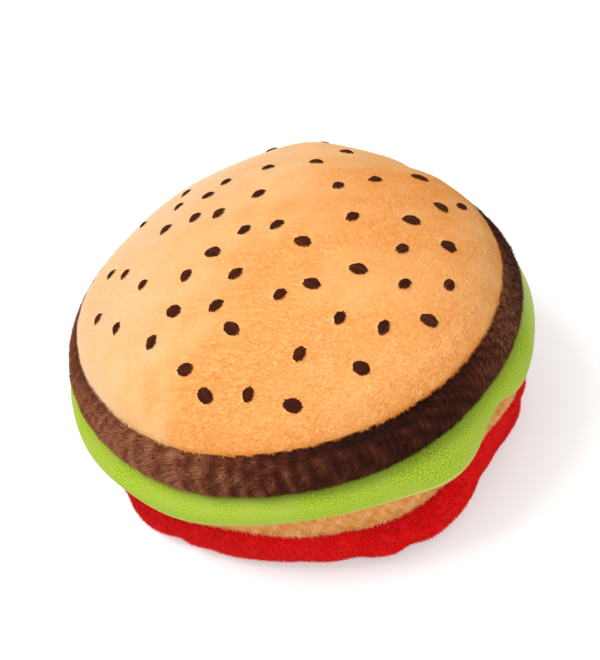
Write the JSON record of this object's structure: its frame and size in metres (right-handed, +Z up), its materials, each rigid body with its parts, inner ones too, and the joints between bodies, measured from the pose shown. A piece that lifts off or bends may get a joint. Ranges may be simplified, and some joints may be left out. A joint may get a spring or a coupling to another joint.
{
  "type": "plush toy",
  "caption": "Soft stuffed toy shaped like a layered burger: seeded pile-fabric bun top, patty band, folded fleece collar, gathered lower band and flat base, with fibre filling and a squeaker",
  "frame": {"origin": "middle of the toy's footprint on the floor, at the underside of the base panel", "axes": "+Z is up, out of the seeded bun top. +Y is the back, where the strips' side joins are. The toy is near round about Z."},
  "size_m": [0.1748, 0.1744, 0.1017],
  "materials": {
    "bun_pile": "short soft pile",
    "seed_thread": "dense embroidery thread",
    "backing_cloth": "thin non-woven cloth",
    "patty_pile": "short brushed pile",
    "lettuce_fleece": "knitted fleece with fine ribs",
    "side_pile": "short soft pile",
    "tomato_pile": "short dense pile",
    "filling_fibre": "loose crimped fibre",
    "squeaker_plastic": "moulded, matt",
    "sewing_thread": "spun thread"
  },
  "bodies": {
    "root": {"bun_crown": "bun_pile", "sesame_seeds": "seed_thread", "embroidery_backing": "backing_cloth", "patty_band": "patty_pile", "lettuce_collar": "lettuce_fleece", "bun_side_band": "side_pile", "tomato_band": "tomato_pile", "bun_base": "side_pile", "upper_filling": "filling_fibre", "lower_filling": "filling_fibre", "squeaker_bulb": "squeaker_plastic", "squeaker_insert": "squeaker_plastic", "squeaker_reed": "squeaker_plastic", "crown_seam_thread": "sewing_thread", "collar_seam_thread": "sewing_thread", "tomato_seam_thread": "sewing_thread", "base_seam_thread": "sewing_thread", "patty_join_thread": "sewing_thread", "side_join_thread": "sewing_thread", "closing_stitches": "sewing_thread"}
  },
  "joints": []
}
